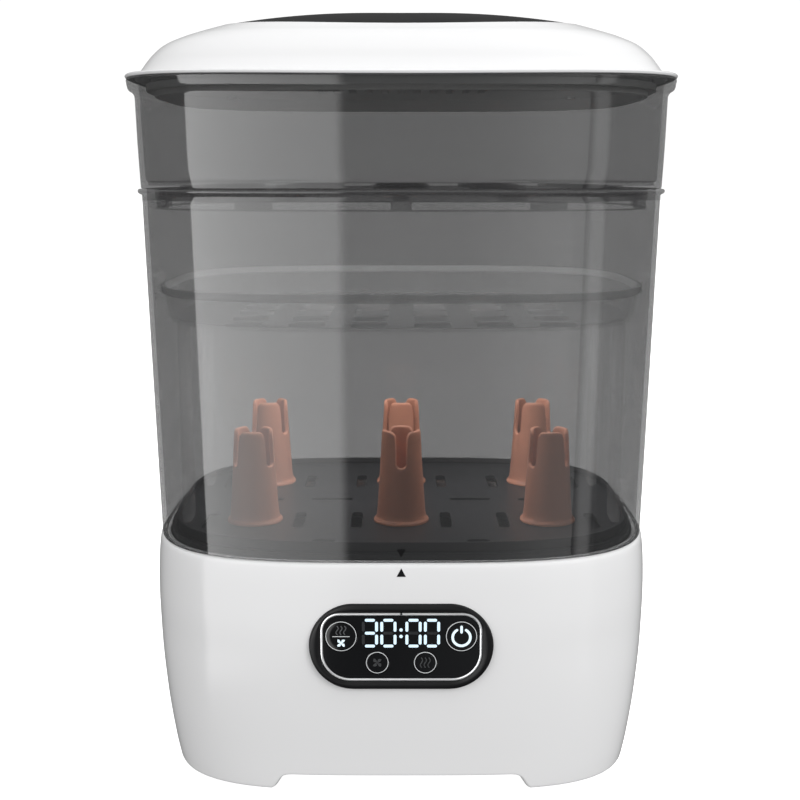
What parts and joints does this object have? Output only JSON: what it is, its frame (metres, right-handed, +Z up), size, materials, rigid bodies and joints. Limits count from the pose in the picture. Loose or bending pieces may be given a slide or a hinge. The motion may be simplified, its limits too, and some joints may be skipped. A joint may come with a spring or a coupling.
{
  "type": "bottle sterilizer",
  "caption": "Rounded electric steam sterilizer and dryer for baby bottles: white base with control panel, smoked chamber and tray tiers, pegged rack, domed lid.",
  "frame": {"origin": "centre of the footprint, on the surface the feet rest on", "axes": "+Z up, -Y towards the control panel, +X to the right seen from the front"},
  "size_m": [0.283, 0.2308, 0.3972],
  "materials": {
    "white_gloss": "smooth moulded gloss",
    "white_satin": "moulded satin",
    "grey_rubber": "moulded rubber",
    "silicone": "translucent silicone",
    "steel_fastener": "zinc-plated steel",
    "dark_plastic": "moulded satin",
    "brushed_plate": "brushed stainless",
    "element_metal": "plain",
    "black_phenolic": "moulded",
    "filter_paper": "pleated fibre",
    "board_green": "solder-mask",
    "board_parts": "moulded",
    "black_satin": "fine satin",
    "black_gloss": "polished",
    "silver_trim": "satin chrome",
    "lit_digits": "lit white",
    "smoked_plastic": "transparent smoke tint",
    "clear_plastic": "clear",
    "terracotta": "moulded satin"
  },
  "bodies": {
    "base": {"base_housing": "white_gloss", "base_bottom_cover": "white_satin", "rubber_feet": "grey_rubber", "cover_screws": "steel_fastener", "heater_deck": "dark_plastic", "heating_plate": "brushed_plate", "plate_gasket": "silicone", "heating_element": "element_metal", "thermostat": "black_phenolic", "thermal_fuse": "white_satin", "blower_housing": "dark_plastic", "blower_cover": "dark_plastic", "blower_motor": "brushed_plate", "air_duct": "dark_plastic", "air_heater": "element_metal", "outlet_grille": "dark_plastic", "power_board": "board_green", "power_board_parts": "board_parts", "terminal_block": "white_satin", "cord_gland": "grey_rubber", "control_board": "board_green", "switch_domes": "white_satin", "display_module": "black_phenolic", "display_digits": "lit_digits", "panel_bezel": "black_satin", "panel_trim_ring": "silver_trim", "panel_lens": "black_gloss"},
    "fan": {"motor_shaft": "steel_fastener", "blower_impeller": "dark_plastic"},
    "filter_door": {"filter_cover": "white_gloss", "air_filter": "filter_paper"},
    "mode_key": {"mode_button": "black_gloss"},
    "power_key": {"power_button": "black_gloss"},
    "dry_key": {"dry_button": "black_gloss"},
    "steam_key": {"steam_button": "black_gloss"},
    "rack": {"bottle_rack": "dark_plastic", "bottle_pegs": "terracotta"},
    "mid_tier": {"middle_tray": "clear_plastic", "tray_legs": "clear_plastic"},
    "sleeve": {"chamber": "smoked_plastic"},
    "upper_tier": {"top_tray": "smoked_plastic"},
    "lid": {"lid_shell": "white_gloss", "lid_vent_plate": "black_satin", "lid_inner_cover": "white_satin", "lid_seal": "silicone", "lid_screws": "steel_fastener"}
  },
  "joints": [
    {"name": "fan_spin", "type": "hinge", "parent": "base", "child": "fan", "pos_m": [0.025, 0.02, 0.055], "axis": [0, 0, 1], "continuous": true},
    {"name": "filter_pull", "type": "slide", "parent": "base", "child": "filter_door", "axis": [0, 1, 0], "range_m": [0, 0.045]},
    {"name": "mode_press", "type": "slide", "parent": "base", "child": "mode_key", "axis": [0, 1, 0], "range_m": [0, 0.0006], "stiffness_N_per_m": 600, "springref_m": -0.0006},
    {"name": "power_press", "type": "slide", "parent": "base", "child": "power_key", "axis": [0, 1, 0], "range_m": [0, 0.0006], "stiffness_N_per_m": 600, "springref_m": -0.0006},
    {"name": "dry_press", "type": "slide", "parent": "base", "child": "dry_key", "axis": [0, 1, 0], "range_m": [0, 0.0006], "stiffness_N_per_m": 600, "springref_m": -0.0006},
    {"name": "steam_press", "type": "slide", "parent": "base", "child": "steam_key", "axis": [0, 1, 0], "range_m": [0, 0.0006], "stiffness_N_per_m": 600, "springref_m": -0.0006},
    {"name": "rack_lift", "type": "slide", "parent": "base", "child": "rack", "axis": [0, 0, 1], "range_m": [0, 0.014]},
    {"name": "middle_tray_lift", "type": "slide", "parent": "rack", "child": "mid_tier", "axis": [0, 0, 1], "range_m": [0, 0.02]},
    {"name": "chamber_lift", "type": "slide", "parent": "base", "child": "sleeve", "axis": [0, 0, 1], "range_m": [0, 0.15]},
    {"name": "top_tray_lift", "type": "slide", "parent": "sleeve", "child": "upper_tier", "axis": [0, 0, 1], "range_m": [0, 0.12]},
    {"name": "lid_lift", "type": "slide", "parent": "upper_tier", "child": "lid", "axis": [0, 0, 1], "range_m": [0, 0.1]}
  ]
}
